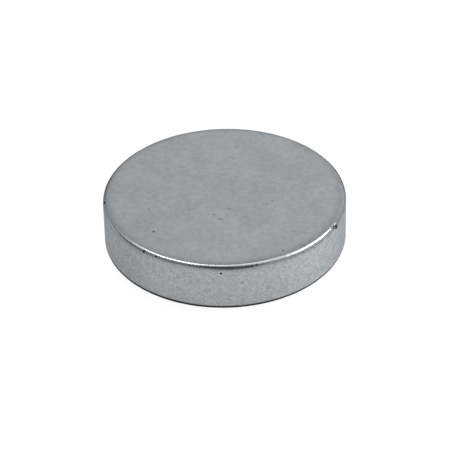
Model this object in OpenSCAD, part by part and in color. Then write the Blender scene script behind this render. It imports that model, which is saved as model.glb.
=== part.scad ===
// Disc magnet: one sintered disc with flat ground faces, tumbled edges and a plated skin.
// Millimetres, +Z up. It lies on its bottom face, whose centre is the origin, with its front towards -Y.
// A bearing is in degrees round the axis, from the front towards +X.

/* [Disc] */
// Outside diameter of the wall
disc_d = 48; // [20:0.5:100]
// Thickness, from one flat face to the other
disc_t = 10.2; // [5:0.1:25]
// Radius that tumbling leaves along both edges
edge_r = 0.9; // [0.4:0.05:2]

/* [Chip in the top edge] */
// Bearing of the middle of the chip
chip_bearing = 64; // [-180:1:180]
// Width of the chip along the edge
chip_w = 1.1; // [0.5:0.1:2.5]
// Depth of the chip, square to the rounded edge
chip_depth = 0.3; // [0.1:0.05:0.4]
// Width of the flake lost beside it
flake_w = 1.1; // [0.3:0.1:1.5]
// Depth of the flake
flake_depth = 0.25; // [0.05:0.05:0.3]

/* [Pits in the plating] */
// Depth of a sharp pit, as a share of its width
pit_slope = 0.4; // [0.1:0.05:0.5]
// Depth of a shallow dent, as a share of its width
dent_slope = 0.09; // [0.05:0.01:0.25]

/* [Hidden] */
$fn = 128;

disc_r = disc_d / 2;
face_r = disc_r - edge_r;         // radius of the flat faces
wall_h = disc_t - 2 * edge_r;     // straight wall between the rounded edges
flake_gap = (chip_w + flake_w) * 0.44; // from the chip to the flake, along the edge
flake_bearing = chip_bearing - flake_gap / disc_r * 180 / PI;

// Marks are scattered, so their places are shares of the surface that they lie in.
// Sharp pits in the top face: bearing, share of the face radius, width
face_pits = [
    [-49, 0.794, 0.50],
    [-17, 0.305, 0.38],
    [ 30, 0.948, 0.46],
    [ 76, 0.420, 0.34],
];
// Shallow dents in the top face: bearing, share of the face radius, width
face_dents = [
    [-73,   0.668, 0.60],
    [-54,   0.369, 0.50],
    [ -6.5, 0.362, 0.68],
    [ 10,   0.220, 0.74],
    [ 67,   0.393, 0.46],
];
// Sharp pits in the wall: bearing, share of the wall's height, width
wall_pits = [
    [-32,   0.594, 0.28],
    [ -2.3, 0.930, 0.55],
    [  7,   0.638, 0.35],
    [ 19.5, 0.356, 0.29],
];
// Nicks in the rounded top edge: bearing, slope above level, width
edge_nicks = [
    [-86,   45, 0.70],
    [-41,   37, 0.64],
    [-34,   40, 0.46],
    [ 11.8, 32, 0.54],
    [ 14,   38, 0.48],
];

// Half of the disc's section: a rectangle whose two outer corners are round
module section() {
    square([face_r, disc_t]);
    translate([0, edge_r]) square([disc_r, wall_h]);
    for (z = [edge_r, disc_t - edge_r])
        translate([face_r, z]) circle(edge_r);
}

// The ball that scoops out a hollow of this width and depth, below a surface at z = 0
module scoop(width, depth) {
    ball_r = (width * width / 4 + depth * depth) / (2 * depth);
    translate([0, 0, ball_r - depth]) sphere(ball_r);
}

// Puts its children on the top face, facing up
module on_face(bearing, share) {
    rotate(bearing - 90) translate([share * face_r, 0, disc_t]) children();
}

// Puts its children on the wall, facing outwards
module on_wall(bearing, share) {
    rotate(bearing - 90) translate([disc_r, 0, edge_r + share * wall_h])
        rotate([0, 90, 0]) children();
}

// Puts its children on the rounded top edge, facing out at this slope above level
module on_edge(bearing, slope) {
    rotate(bearing - 90) translate([face_r, 0, disc_t - edge_r])
        rotate([0, 90 - slope, 0]) translate([0, 0, edge_r]) children();
}

module magnet() {
    color([0.61, 0.63, 0.64])
    difference() {
        rotate_extrude() section();
        for (p = face_pits) on_face(p[0], p[1]) scoop(p[2], pit_slope * p[2]);
        for (p = face_dents) on_face(p[0], p[1]) scoop(p[2], dent_slope * p[2]);
        for (p = wall_pits) on_wall(p[0], p[1]) scoop(p[2], pit_slope * p[2]);
        for (p = edge_nicks) on_edge(p[0], p[1]) scoop(p[2], pit_slope * p[2]);
        // The metal lost at the chip, then the shallower flake beside it
        on_edge(chip_bearing, 0) scoop(chip_w, chip_depth);
        on_edge(flake_bearing, 28) scoop(flake_w, flake_depth);
    }
}

magnet();
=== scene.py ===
import math
import bmesh
import bpy
from mathutils import Matrix, Vector, noise


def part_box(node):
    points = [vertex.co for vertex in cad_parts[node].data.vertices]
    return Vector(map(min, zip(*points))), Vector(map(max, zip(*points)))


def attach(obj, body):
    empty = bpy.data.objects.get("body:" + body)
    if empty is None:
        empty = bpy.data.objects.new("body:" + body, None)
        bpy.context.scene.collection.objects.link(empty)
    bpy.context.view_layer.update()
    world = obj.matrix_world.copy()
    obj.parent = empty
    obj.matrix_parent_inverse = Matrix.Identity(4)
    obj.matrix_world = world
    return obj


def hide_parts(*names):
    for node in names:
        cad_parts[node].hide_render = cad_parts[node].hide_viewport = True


# Disc magnet: a sintered disc with tumbled edges under a satin plating, lying on a pale floor.
# Metres. A bearing is in degrees round the axis, from the front (-Y) towards +X.

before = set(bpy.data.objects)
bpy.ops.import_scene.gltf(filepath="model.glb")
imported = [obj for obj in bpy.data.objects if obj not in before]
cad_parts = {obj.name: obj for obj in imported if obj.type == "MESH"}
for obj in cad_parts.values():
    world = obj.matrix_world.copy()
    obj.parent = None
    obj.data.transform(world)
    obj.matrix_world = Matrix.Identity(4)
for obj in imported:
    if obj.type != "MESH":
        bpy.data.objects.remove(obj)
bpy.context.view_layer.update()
discLow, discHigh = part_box("magnet")
discRadius = (discHigh.x - discLow.x) / 2
discHeight = discHigh.z - discLow.z
discMiddle = (discLow + discHigh) / 2
mm = 0.001
print("frame loaded: disc", round(discRadius * 2 / mm, 2), "by", round(discHeight / mm, 2), "mm")

# The half section that the disc is turned from
section = {
    "edgeRadius": 0.9 * mm,     # left by tumbling along both edges
    "faceCells": 128,           # squares across a flat face
    "edgeSteps": 11,            # rows round a quarter of the edge
    "wallRow": 0.36 * mm,       # height of a row on the wall
    "flankRow": 0.06 * mm,      # narrow row on the flat, beside the edge
    "footRow": 0.14 * mm,       # narrow row on the wall, beside the edge
    "weld": 0.001 * mm,         # points closer than this become one
}
edgeRadius = section["edgeRadius"]
faceRadius = discRadius - edgeRadius
wallHeight = discHeight - 2 * edgeRadius


def clamped(value):
    return min(1.0, max(0.0, value))


# One at the middle, falling off over the width
def bell(value, middle, width):
    return math.exp(-((value - middle) / width) ** 2)


# Direction that faces this bearing at this slope above level
def facing(bearing, slope):
    turn = math.radians(bearing)
    rise = math.radians(slope)
    return Vector((math.sin(turn) * math.cos(rise), -math.cos(turn) * math.cos(rise), math.sin(rise)))


# Draws a square out to a disc, so that the cells of a grid stay nearly even
def squareToDisc(u, v):
    if abs(u) > abs(v):
        reach, turn = u, math.pi / 4 * v / u
    elif v != 0:
        reach, turn = v, math.pi / 2 - math.pi / 4 * u / v
    else:
        return 0.0, 0.0
    return reach * math.cos(turn), reach * math.sin(turn)


# Nearest place on the true section, and the direction outwards there
def settled(point):
    flat = Vector((point.x, point.y, 0))
    core = flat.copy()
    if core.length > faceRadius:
        core.length = faceRadius
    core.z = min(max(point.z, edgeRadius), discHeight - edgeRadius)
    out = point - core
    out.normalize()
    return core + out * edgeRadius, out


# The smooth blank: a flat face, its rounded edge and half the wall, then mirrored
def makeBlank():
    blank = bmesh.new()
    cells = section["faceCells"]
    bmesh.ops.create_grid(blank, x_segments=cells, y_segments=cells, size=1)
    for vert in blank.verts:
        x, y = squareToDisc(vert.co.x, vert.co.y)
        vert.co = Vector((x, y, 0)) * (faceRadius - section["flankRow"])
        vert.co.z = discHeight
    rings = []                  # radius and height, from the flat down to half height
    wallTop = discHeight - edgeRadius
    for step in range(section["edgeSteps"] + 1):
        turn = math.pi / 2 * (1 - step / section["edgeSteps"])
        rings.append((faceRadius + edgeRadius * math.cos(turn), wallTop + edgeRadius * math.sin(turn)))
    rings.append((discRadius, wallTop - section["footRow"]))
    rows = math.ceil(wallHeight / 2 / section["wallRow"])
    for row in range(1, rows + 1):
        rings.append((discRadius, wallTop - wallHeight / 2 * row / rows))
    rim = [edge for edge in blank.edges if edge.is_boundary]
    for radius, height in rings:
        grown = bmesh.ops.extrude_edge_only(blank, edges=rim)["geom"]
        for vert in grown:
            if isinstance(vert, bmesh.types.BMVert):
                ray = Vector((vert.co.x, vert.co.y, 0)).normalized() * radius
                vert.co = (ray.x, ray.y, height)
        rim = [edge for edge in grown if isinstance(edge, bmesh.types.BMEdge) and edge.is_boundary]
    halfWay = Matrix.Translation((0, 0, -discHeight / 2))   # moves half height to the mirror's own zero
    bmesh.ops.mirror(blank, geom=blank.verts[:] + blank.edges[:] + blank.faces[:], matrix=halfWay,
                     merge_dist=section["weld"], axis="Z")
    bmesh.ops.remove_doubles(blank, verts=blank.verts[:], dist=section["weld"])
    bmesh.ops.recalc_face_normals(blank, faces=blank.faces[:])
    return blank


# Marks in the plating. Widths, depths and lips are in mm. A share is of the flat's radius or of the
# wall's height. A look is how ragged the border is, how high its lip, how burnished that lip, and how
# bare the inside.
marks = {
    "sharpSlope": 0.40,         # depth of a sharp pit, as a share of its width
    "dentSlope": 0.09,          # depth of a shallow dent, as a share of its width
    "facePits": [(-49, 0.794, 0.50), (-17, 0.305, 0.38), (30, 0.948, 0.46), (76, 0.420, 0.34)],
    "facePitLook": (0.14, 0.0, 0.0, 0.82),
    "faceDents": [(-73, 0.668, 0.60), (-54, 0.369, 0.50), (-6.5, 0.362, 0.68), (10, 0.220, 0.74),
                  (67, 0.393, 0.46)],
    "faceDentLook": (0.2, 0.0, 0.0, 0.56),
    "wallPits": [(-32, 0.594, 0.28), (-2.3, 0.930, 0.55), (7, 0.638, 0.35), (19.5, 0.356, 0.29)],
    "wallPitLook": (0.14, 0.014, 0.7, 1.0),
    # Bearing, slope and width of each nick in the edge, and how bare it is
    "edgeNicks": [(-86, 45, 0.70, 1.0), (-41, 37, 0.64, 1.0), (-34, 40, 0.46, 0.95),
                  (11.8, 32, 0.54, 0.84), (14, 38, 0.48, 0.72)],
    "nickBurnish": 0.15,
    "edgeRagged": 0.25,         # for the nicks, the chip and the flake
    # Bearing, slope, width, depth, how burnished and how bare
    "chip": (64, 0, 1.1, 0.30, 0.1, 0.95),
    "flake": (61.7, 28, 1.1, 0.25, 0.0, 0.70),
    # Bright metal thrown up beside the chip: bearing, slope, width and height
    "beads": [(63.9, 48, 0.36, 0.05), (59.0, 42, 0.40, 0.03)],
    "beadLook": (0.2, 0.0, 1.0, 0.0),
    "finerWithin": (2.4, 1.7, 1.3),     # within so many radii of a mark the cells are halved, in steps
    "finerMargin": 0.25 * mm,
    "pressWithin": 2.2,         # beyond so many radii a mark changes nothing
    "stirLength": 0.35 * mm,    # length of the waves in a ragged border
    "stirShift": (3.1, 5.2, 1.7),
    "lipPlace": 1.15,           # middle of the lip, as a share of the mark's radius
    "lipWidth": 0.3,
    "gritLength": 0.12 * mm,    # roughness of the bare inside
    "gritHeight": 0.12,         # as a share of the mark's depth
    "bareFade": 5,              # how sharply bareness ends, a little past the border
}


# Places on the three surfaces, each with the direction outwards there
def onFlat(bearing, share):
    place = facing(bearing, 0) * share * faceRadius
    place.z = discHeight
    return place, Vector((0, 0, 1))


def onWall(bearing, share):
    out = facing(bearing, 0)
    place = out * discRadius
    place.z = edgeRadius + share * wallHeight
    return place, out


def onEdge(bearing, slope):
    out = facing(bearing, slope)
    middle = facing(bearing, 0) * faceRadius + Vector((0, 0, discHeight - edgeRadius))
    return middle + out * edgeRadius, out


# Every mark with its place, size and look
def listMarks():
    found = []

    def add(where, width, depth, look):
        ragged, lip, burnish, bare = look
        found.append({"place": where[0], "out": where[1], "radius": width / 2 * mm, "depth": depth * mm,
                      "ragged": ragged, "lip": lip * mm, "burnish": burnish, "bare": bare})

    for bearing, share, width in marks["facePits"]:
        add(onFlat(bearing, share), width, width * marks["sharpSlope"], marks["facePitLook"])
    for bearing, share, width in marks["faceDents"]:
        add(onFlat(bearing, share), width, width * marks["dentSlope"], marks["faceDentLook"])
    for bearing, share, width in marks["wallPits"]:
        add(onWall(bearing, share), width, width * marks["sharpSlope"], marks["wallPitLook"])
    for bearing, slope, width, bare in marks["edgeNicks"]:
        look = (marks["edgeRagged"], 0.0, marks["nickBurnish"], bare)
        add(onEdge(bearing, slope), width, width * marks["sharpSlope"], look)
    for bearing, slope, width, depth, burnish, bare in (marks["chip"], marks["flake"]):
        add(onEdge(bearing, slope), width, depth, (marks["edgeRagged"], 0.0, burnish, bare))
    for bearing, slope, width, height in marks["beads"]:
        add(onEdge(bearing, slope), width, -height, marks["beadLook"])
    return found


# Finer cells round each mark, in steps that close in on it
def refineAround(mesh, found):
    for reach in marks["finerWithin"]:
        close = set()
        for mark in found:
            limit = mark["radius"] * reach + marks["finerMargin"] * (reach - 1)
            for vert in mesh.verts:
                if (vert.co - mark["place"]).length < limit:
                    close.add(vert)
        edges = [edge for edge in mesh.edges if edge.verts[0] in close and edge.verts[1] in close]
        bmesh.ops.subdivide_edges(mesh, edges=edges, cuts=1, use_grid_fill=True)
    bmesh.ops.triangulate(mesh, faces=[face for face in mesh.faces if len(face.verts) > 4])


# Unevenness of the surface. A wave is its height and length in mm, and a shift that keeps it unlike
# the others.
relief = {
    "sink": 0.02 * mm,          # keeps every high spot inside the true size
    "edgeWave": (0.018, 3.2, 11.3),     # the rounding isn't quite even
    "edgeRipple": (0.006, 0.8, 4.1),
    "edgeDings": (0.06, 0.9, 23.9),     # small dents all along the edges
    "dingShare": 0.25,          # only noise above this is a dent
    "faceWave": (0.005, 5.0, 7.7),
    "facePeel": (0.0012, 0.9, 2.9),
    "wallWave": (0.006, 4.5, 17.1),
    "wallPeel": (0.0022, 0.8, 9.3),
}


def wave(point, name):
    height, length, shift = relief[name]
    return height * mm * noise.noise(point / (length * mm) + Vector((shift, shift * 0.7, -shift)))


# How far the surface stands out from the true section, on a place that faces out
def unevenness(point, out):
    rise = abs(out.z)
    edging = 4 * rise * rise * (1 - rise * rise)
    flatness = max(0.0, rise * rise - edging * 0.5)
    walling = max(0.0, 1 - rise * rise - edging * 0.5)
    dings = wave(point, "edgeDings") - relief["edgeDings"][0] * mm * relief["dingShare"]
    height = -relief["sink"]
    height += edging * (wave(point, "edgeWave") + wave(point, "edgeRipple") - max(0.0, dings))
    height += flatness * (wave(point, "faceWave") + wave(point, "facePeel"))
    height += walling * (wave(point, "wallWave") + wave(point, "wallPeel"))
    return height


# Presses one mark into a point, and gives the new point, how bare it is there and how burnished
def press(point, mark):
    offset = point - mark["place"]
    along = offset.dot(mark["out"])
    across = (offset - mark["out"] * along).length
    stir = noise.noise(point / marks["stirLength"] + Vector(marks["stirShift"]))
    radius = mark["radius"] * (1 + mark["ragged"] * stir)
    depth = mark["depth"]
    if depth < 0:               # a bead stands up instead
        swell = max(0.0, 1 - (across / radius) ** 2)
        return point - mark["out"] * depth * swell * swell, 0.0, min(1.0, swell * 2)
    onLip = bell(across, radius * marks["lipPlace"], radius * marks["lipWidth"])
    lipHeight = mark["lip"] * onLip
    share = 1 - (across / radius) ** 2
    bared = clamped(1 + marks["bareFade"] * share)
    if across >= radius:
        return point + mark["out"] * lipHeight, bared, onLip * (1 - bared)
    ball = (radius * radius + depth * depth) / (2 * depth)
    bottom = ball - depth - math.sqrt(ball * ball - across * across)
    grit = noise.noise(point / marks["gritLength"]) * depth * marks["gritHeight"]
    if along <= bottom:
        return point, 0.0, 0.0
    return point + mark["out"] * (bottom - along + grit * share + lipHeight), bared, 0.0


# Painted light and shade: a share of the plating's colour at a place, painted in to stand for
# highlights, reflections and shadows. Slopes are in degrees above level. Ahead is 1 at the front of the
# disc, 0 at its sides and -1 at the back.
paintedShading = {
    "wallGain": 1.26,           # painted light: the wall is painted a little paler than the flats
    "wallFade": 1.6,            # how fast the wall's look ends where the edge turns away
    # Painted sheen and shade: bearing and width of a part of the wall painted paler or darker, and by
    # how much
    "wallPaintedSheen": [(49, 23, 0.19), (-50, 12, -0.08), (-96, 36, -0.14), (96, 30, -0.13)],
    "flatFrom": (0.90, 0.09),   # how upright a direction is where the flat begins, and over how much
    "vergeLoss": 0.14,          # painted shade: a darker line is painted round each flat, beside its edge
    "vergeLean": 0.12,          # and is stronger towards the front
    "vergeWidth": 0.85 * mm,
    "ridgeLoss": 0.21,          # towards the back a narrower painted dark line lies right at the edge
    "ridgeWidth": 0.35 * mm,
    "browLoss": 0.80,           # painted shade: the upper part of the edge is painted darker round the back
    "browFrom": 0.17,           # how far ahead that begins
    "browGain": 2,              # and how fast it grows
    "browSlope": 58,
    "browSpread": 24,
    "eaveLoss": 0.20,           # painted shade: a dark line is painted along the low part of the edge
    "eaveSlope": 12,
    "eaveSpread": 13,
    "eaveDrop": 0.32 * mm,      # how far it runs down the wall
    # Stretches where the edge is painted darker still, as more painted shade: bearing, its width, slope,
    # its spread, and loss
    "eaveMore": [
        (42, 20, 12, 13, 0.30),
        (-2, 19, 42, 14.5, 0.87),
        (11.2, 3.2, 33, 11, 0.42),
        (3, 8, 19, 12, 0.50),
        (-55, 9, 50, 30, 0.30),
    ],
    "footLoss": 0.95,           # painted shadow: a nearly black line is painted round the foot, where the disc stands
    "footHeight": 1.03 * mm,    # where that line ends
    "footLean": 0.14,           # it ends higher at the left, by up to this share
    "footFade": 5.5,            # how sharply it ends
    "footUnder": (-82, 15),     # slope at which it begins underneath, and over how much
    "lowLoss": 0.08,            # painted shade: the wall is painted a little darker towards the foot
    "lowHeight": 5.0 * mm,
}


# That share of painted light and shade, and how far the place lies in the foot's painted shadow
def paintedShadeAt(point, out, wallShare):
    fromAxis = Vector((point.x, point.y)).length
    ahead = -point.y / max(mm, fromAxis)
    turn = math.degrees(math.atan2(point.x, -point.y))
    slope = math.degrees(math.asin(max(-1.0, min(1.0, out.z))))
    levelFrom, levelSpan = paintedShading["flatFrom"]
    level = clamped((abs(out.z) - levelFrom) / levelSpan)
    inwards = max(0.0, faceRadius - fromAxis)
    verge = level * bell(inwards, 0, paintedShading["vergeWidth"])
    verge *= paintedShading["vergeLoss"] + paintedShading["vergeLean"] * ahead
    verge += paintedShading["ridgeLoss"] * max(0.0, -ahead) * level * bell(inwards, 0, paintedShading["ridgeWidth"])
    behind = clamped(paintedShading["browGain"] * (paintedShading["browFrom"] - ahead))
    brow = paintedShading["browLoss"] * behind * (1 - level)
    brow *= bell(slope, paintedShading["browSlope"], paintedShading["browSpread"])
    eave = paintedShading["eaveLoss"] * bell(slope, paintedShading["eaveSlope"], paintedShading["eaveSpread"])
    for bearing, width, middle, spread, loss in paintedShading["eaveMore"]:
        eave += loss * bell(turn, bearing, width) * bell(slope, middle, spread)
    eave *= bell(max(0.0, discHeight - edgeRadius - point.z), 0, paintedShading["eaveDrop"])
    footTop = paintedShading["footHeight"] * (1 + paintedShading["footLean"] * max(0.0, -point.x / discRadius))
    underFrom, underSpan = paintedShading["footUnder"]
    footShadow = clamped(paintedShading["footFade"] * (1 - point.z / footTop))
    footShadow *= clamped((slope - underFrom) / underSpan)
    low = max(0.0, 1 - point.z / paintedShading["lowHeight"]) * wallShare
    gain = paintedShading["wallGain"] - 1
    for bearing, width, more in paintedShading["wallPaintedSheen"]:
        gain += more * bell(turn, bearing, width)
    paintedShade = (1 + gain * wallShare) * (1 - eave)
    paintedShade *= (1 - verge) * (1 - brow) * (1 - paintedShading["lowLoss"] * low)
    return paintedShade * (1 - paintedShading["footLoss"] * footShadow), footShadow


# Puts a mesh's parts in order of place, because the mesh tools leave them in another order each run
def putInOrder(mesh):
    def corners(part):
        return sorted(vert.index for vert in part.verts)

    keys = ((mesh.verts, lambda vert: tuple(vert.co)), (mesh.edges, corners), (mesh.faces, corners))
    for parts, key in keys:
        for rank, part in enumerate(sorted(parts, key=key)):
            part.index = rank
        parts.sort()


# What the plating's shader reads at each point
platingReads = ("bare", "edge", "wall", "burnish", "paintedShade", "bareOrFootShadow")


def makeMagnet():
    mesh = makeBlank()
    found = listMarks()
    refineAround(mesh, found)
    bareness, edging, walling, burnish, paintedShades, bareOrFootShadowLayer = [
        mesh.verts.layers.float.new(name) for name in platingReads]
    for vert in mesh.verts:
        point, out = settled(vert.co)
        rise = abs(out.z)
        vert[edging] = min(1.0, 4 * rise * rise * (1 - rise * rise))
        vert[walling] = max(0.0, 1 - paintedShading["wallFade"] * rise)
        # Painted light and shade, and the foot's painted shadow, which also takes away the shine
        vert[paintedShades], vert[bareOrFootShadowLayer] = paintedShadeAt(point, out, vert[walling])
        point = point + out * unevenness(point, out)
        for mark in found:
            if (point - mark["place"]).length < mark["radius"] * marks["pressWithin"]:
                point, bare, bright = press(point, mark)
                vert[bareness] = max(vert[bareness], bare * mark["bare"])
                vert[bareOrFootShadowLayer] = max(vert[bareOrFootShadowLayer], vert[bareness])
                vert[burnish] = max(vert[burnish], bright * mark["burnish"])
        vert.co = point
    for face in mesh.faces:
        face.smooth = True
    bmesh.ops.recalc_face_normals(mesh, faces=mesh.faces[:])
    putInOrder(mesh)
    data = bpy.data.meshes.new("platedDisc")
    mesh.to_mesh(data)
    mesh.free()
    piece = bpy.data.objects.new("platedDisc", data)
    bpy.context.scene.collection.objects.link(piece)
    return piece


magnet = makeMagnet()
print("disc made:", len(magnet.data.polygons), "faces")


# A shader node with its settings and the values of its sockets
def addNode(tree, kind, settings=None, **values):
    node = tree.nodes.new(kind)
    for name, value in (settings or {}).items():
        setattr(node, name, value)
    for name, value in values.items():
        node.inputs[name.replace("_", " ")].default_value = value
    return node


def addNoise(tree, place, length, detail=2.0, roughness=0.5):
    node = addNode(tree, "ShaderNodeTexNoise", Scale=1 / length, Detail=detail, Roughness=roughness)
    tree.links.new(place, node.inputs["Vector"])
    return node.outputs["Fac"]


# Gives a socket another node's output, or else a constant
def fill(tree, socket, value):
    if isinstance(value, bpy.types.NodeSocket):
        tree.links.new(value, socket)
    else:
        socket.default_value = value


# From the first to the second as the factor goes from 0 to 1; the kind is FLOAT or RGBA
def blend(tree, kind, factor, first, second):
    node = addNode(tree, "ShaderNodeMix", {"data_type": kind})
    for name, value in (("Factor", factor), ("A", first), ("B", second)):
        fill(tree, node.inputs[name], value)
    return node.outputs["Result"]


def calculate(tree, operation, *values):
    node = addNode(tree, "ShaderNodeMath", {"operation": operation})
    for socket, value in zip(node.inputs, values):
        fill(tree, socket, value)
    return node.outputs[0]


# Bumps laid over those of the normal before, if there are any
def addBump(tree, height, distance, before=None):
    node = addNode(tree, "ShaderNodeBump", Strength=1.0, Distance=distance)
    tree.links.new(height, node.inputs["Height"])
    if before:
        tree.links.new(before, node.inputs["Normal"])
    return node.outputs["Normal"]


def newMaterial(name):
    material = bpy.data.materials.new(name)
    material.use_nodes = True
    tree = material.node_tree
    return material, tree, tree.nodes["Principled BSDF"]


# The satin plating
plating = {
    "deepTone": (0.274, 0.290, 0.301, 1),
    "paleTone": (0.3765, 0.3945, 0.409, 1),
    "grazingTint": (0.42, 0.427, 0.435, 1),
    "bareTone": (0.020, 0.020, 0.021, 1),
    "bareGlint": (0.08, 0.08, 0.083, 1),    # bright grains in the bare metal
    "glintLength": 0.3 * mm,
    "glintRange": (0.52, 0.70),         # noise from none of that to all of it
    "burnishTone": (0.66, 0.67, 0.68, 1),   # lips of the marks
    "cloudLength": 6.0 * mm,
    "mottleLength": 1.1 * mm,
    "grainLength": 0.38 * mm,
    "fineLength": 0.2 * mm,
    "flatGrain": 0.35,          # share of grain in the flats' mottle
    "flatCloud": 0.3,           # and of cloud in both together
    "wallGrain": 0.75,          # share of grain in the wall's
    "flatSpread": 0.185,        # smaller is stronger
    "wallSpread": 0.094,
    "satin": 0.32,              # roughness of the flats
    "wallSatin": 0.60,          # and of the wall
    "satinSpread": 0.06,
    "polish": 0.17,             # roughness of the tumbled edge
    "burnishSatin": 0.22,
    "bareRough": 0.7,
    "dullShine": 0.02,          # gloss left where the skin isn't metallic
    "mottleBump": 0.005 * mm,
    "fineBump": 0.001 * mm,
    "edgeBump": 0.02 * mm,      # the tumbled edge is finely dented
}


def makePlating():
    material, tree, shader = newMaterial("satinPlating")
    place = addNode(tree, "ShaderNodeTexCoord").outputs["Object"]
    cloud = addNoise(tree, place, plating["cloudLength"])
    mottle = addNoise(tree, place, plating["mottleLength"], roughness=0.6)
    grain = addNoise(tree, place, plating["grainLength"], roughness=0.6)
    fine = addNoise(tree, place, plating["fineLength"])
    bare, edge, wall, burnish, paintedShade, bareOrFootShadow = [
        addNode(tree, "ShaderNodeAttribute", {"attribute_name": name}).outputs["Fac"]
        for name in platingReads]

    # The flats are faintly mottled, and the wall is grainier
    speckled = blend(tree, "FLOAT", plating["flatGrain"], mottle, grain)
    onFlats = blend(tree, "FLOAT", plating["flatCloud"], speckled, cloud)
    onWalls = blend(tree, "FLOAT", plating["wallGrain"], mottle, grain)
    spread = []
    for texture, reach in ((onFlats, plating["flatSpread"]), (onWalls, plating["wallSpread"])):
        part = addNode(tree, "ShaderNodeMapRange", From_Min=0.5 - reach, From_Max=0.5 + reach)
        tree.links.new(texture, part.inputs["Value"])
        spread.append(part.outputs["Result"])
    pattern = blend(tree, "FLOAT", wall, spread[0], spread[1])
    tone = blend(tree, "RGBA", pattern, plating["deepTone"], plating["paleTone"])
    # The tone is scaled by the painted light and shade
    paintedShadeTone = addNode(tree, "ShaderNodeVectorMath", {"operation": "SCALE"})
    tree.links.new(tone, paintedShadeTone.inputs[0])
    tree.links.new(paintedShade, paintedShadeTone.inputs["Scale"])
    worn = blend(tree, "RGBA", burnish, paintedShadeTone.outputs["Vector"], plating["burnishTone"])

    # Bare metal in the marks is dark, with a few bright grains
    glint = addNoise(tree, place, plating["glintLength"], detail=0.0)
    glintFrom, glintTo = plating["glintRange"]
    sparkle = addNode(tree, "ShaderNodeMapRange", From_Min=glintFrom, From_Max=glintTo)
    tree.links.new(glint, sparkle.inputs["Value"])
    bareMetal = blend(tree, "RGBA", sparkle.outputs["Result"], plating["bareTone"], plating["bareGlint"])
    fill(tree, shader.inputs["Base Color"], blend(tree, "RGBA", bare, worn, bareMetal))
    # No metallic shine in the bare marks, nor in the foot's painted shadow
    fill(tree, shader.inputs["Metallic"], calculate(tree, "SUBTRACT", 1.0, bareOrFootShadow))
    shader.inputs["Specular IOR Level"].default_value = plating["dullShine"]
    shader.inputs["Specular Tint"].default_value = plating["grazingTint"]

    satin = blend(tree, "FLOAT", wall, plating["satin"], plating["wallSatin"])
    varied = calculate(tree, "MULTIPLY_ADD", grain, plating["satinSpread"], satin)
    centred = calculate(tree, "SUBTRACT", varied, plating["satinSpread"] / 2)
    polished = blend(tree, "FLOAT", edge, centred, plating["polish"])
    rubbed = blend(tree, "FLOAT", burnish, polished, plating["burnishSatin"])
    fill(tree, shader.inputs["Roughness"], blend(tree, "FLOAT", bare, rubbed, plating["bareRough"]))

    bumps = addBump(tree, mottle, plating["mottleBump"])
    bumps = addBump(tree, fine, plating["fineBump"], bumps)
    bumps = addBump(tree, calculate(tree, "MULTIPLY", fine, edge), plating["edgeBump"], bumps)
    fill(tree, shader.inputs["Normal"], bumps)
    return material


magnet.data.materials.append(makePlating())
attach(magnet, "root")
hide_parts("magnet")
print("plating done")


floorLook = {
    "halfWidth": 3.0,
    "tone": (0.10, 0.10, 0.10, 1),
    "roughness": 0.9,
    "glowTone": (1, 1, 1, 1),
    "glow": 0.925,              # keeps the floor nearly white right up to the disc
}


def makeFloor():
    mesh = bmesh.new()
    bmesh.ops.create_grid(mesh, x_segments=2, y_segments=2, size=floorLook["halfWidth"])
    data = bpy.data.meshes.new("floor")
    mesh.to_mesh(data)
    mesh.free()
    floor = bpy.data.objects.new("floor", data)
    bpy.context.scene.collection.objects.link(floor)
    material, tree, shader = newMaterial("paleFloor")
    shader.inputs["Base Color"].default_value = floorLook["tone"]
    shader.inputs["Roughness"].default_value = floorLook["roughness"]
    shader.inputs["Specular IOR Level"].default_value = 0.0
    shader.inputs["Emission Color"].default_value = floorLook["glowTone"]
    shader.inputs["Emission Strength"].default_value = floorLook["glow"]
    data.materials.append(material)


makeFloor()

# The camera looks down at the front. Lengths in metres, angles in degrees.
viewpoint = {
    "elevation": 35.56,
    "distance": 0.4713,         # from the middle of the disc
    "aimRight": 0.952 * mm,     # where it points, from the middle of the disc
    "aimUp": -2.953 * mm,
    "roll": 1.193,
    "lens": 185.96,
    "sensor": 36,
    "clip": (0.01, 20),
}


def placeCamera():
    data = bpy.data.cameras.new("camera")
    data.lens = viewpoint["lens"]
    data.sensor_width = viewpoint["sensor"]
    data.clip_start, data.clip_end = viewpoint["clip"]
    camera = bpy.data.objects.new("camera", data)
    bpy.context.scene.collection.objects.link(camera)
    back = facing(0, viewpoint["elevation"])
    upwards = facing(180, 90 - viewpoint["elevation"])
    spot = discMiddle + back * viewpoint["distance"]
    aim = discMiddle + Vector((1, 0, 0)) * viewpoint["aimRight"] + upwards * viewpoint["aimUp"]
    look = (aim - spot).to_track_quat("-Z", "Y").to_matrix().to_4x4()
    roll = Matrix.Rotation(math.radians(-viewpoint["roll"]), 4, "Z")
    camera.matrix_world = Matrix.Translation(spot) @ look @ roll
    bpy.context.scene.camera = camera


placeCamera()

# Soft boxes by bearing and elevation as seen from the disc. Brightness is what a mirror would show.
lights = {
    "rightBox": {"bearing": 98, "elevation": 40, "roll": -37, "distance": 0.6,
                 "width": 0.28, "height": 0.28, "brightness": 7.8},
    "leftBox": {"bearing": -141, "elevation": 66, "roll": -68, "distance": 1.6,
                "width": 0.46, "height": 0.48, "brightness": 10.2},
    "topBox": {"bearing": 168, "elevation": 72, "roll": 0, "distance": 1.6,
               "width": 0.74, "height": 0.40, "brightness": 2.7},
}


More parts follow.
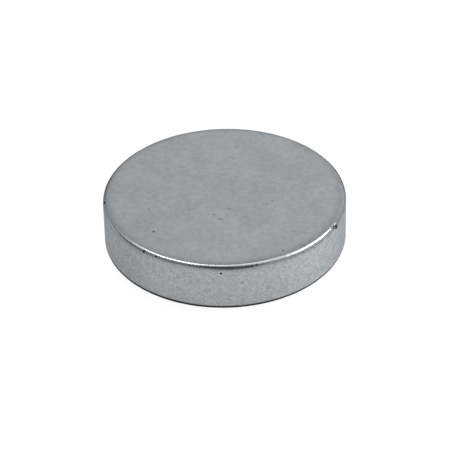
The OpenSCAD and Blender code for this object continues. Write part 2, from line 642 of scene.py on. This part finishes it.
def addBox(name, box):
    data = bpy.data.lights.new(name, "AREA")
    data.shape = "RECTANGLE"
    data.size, data.size_y = box["width"], box["height"]
    data.energy = box["brightness"] * math.pi * box["width"] * box["height"]
    lamp = bpy.data.objects.new(name, data)
    bpy.context.scene.collection.objects.link(lamp)
    away = facing(box["bearing"], box["elevation"])
    look = (-away).to_track_quat("-Z", "Y").to_matrix().to_4x4()
    roll = Matrix.Rotation(math.radians(box["roll"]), 4, "Z")
    lamp.matrix_world = Matrix.Translation(discMiddle + away * box["distance"]) @ look @ roll


for name, box in lights.items():
    addBox(name, box)

# The room round the table: even all round, but for soft patches that are dimmer or brighter
room = {
    "tone": (1, 1, 1, 1),
    "fill": 0.66,
    "backdrop": 0.95,           # what the camera sees past the floor
    # Bearing, elevation, radius of the core, radius of the rim, and brightness against the rest
    "patches": [
        (-6, 31, 14, 46, 0.78),
        (-80, 24, 12, 38, 0.62),
        (165, 8, 10, 40, 2.2),
        (78, 68, 12, 32, 2.4),
        (86, 0, 6, 24, 2.0),
        (72, 38, 7, 9, 3.5),
        (-114, 2, 4, 14, 2.6),
        (-118, 47, 5, 16, 2.6),
    ],
}


def makeRoom():
    world = bpy.data.worlds.new("room")
    bpy.context.scene.world = world
    world.use_nodes = True
    tree = world.node_tree
    way = addNode(tree, "ShaderNodeTexCoord").outputs["Generated"]
    level = room["fill"]
    for bearing, elevation, core, rim, brightness in room["patches"]:
        patch = addNode(tree, "ShaderNodeVectorMath", {"operation": "DOT_PRODUCT"})
        tree.links.new(way, patch.inputs[0])
        patch.inputs[1].default_value = facing(bearing, elevation)
        soft = addNode(tree, "ShaderNodeMapRange", {"interpolation_type": "SMOOTHSTEP"},
                       From_Min=math.cos(math.radians(rim)), From_Max=math.cos(math.radians(core)),
                       To_Min=1.0, To_Max=brightness)
        tree.links.new(patch.outputs["Value"], soft.inputs["Value"])
        level = calculate(tree, "MULTIPLY", soft.outputs["Result"], level)
    seen = addNode(tree, "ShaderNodeLightPath").outputs["Is Camera Ray"]
    shine = tree.nodes["Background"]
    fill(tree, shine.inputs["Strength"], blend(tree, "FLOAT", seen, level, room["backdrop"]))
    shine.inputs["Color"].default_value = room["tone"]


makeRoom()
bpy.context.scene.view_settings.view_transform = "Standard"
print("floor, camera and lights done")
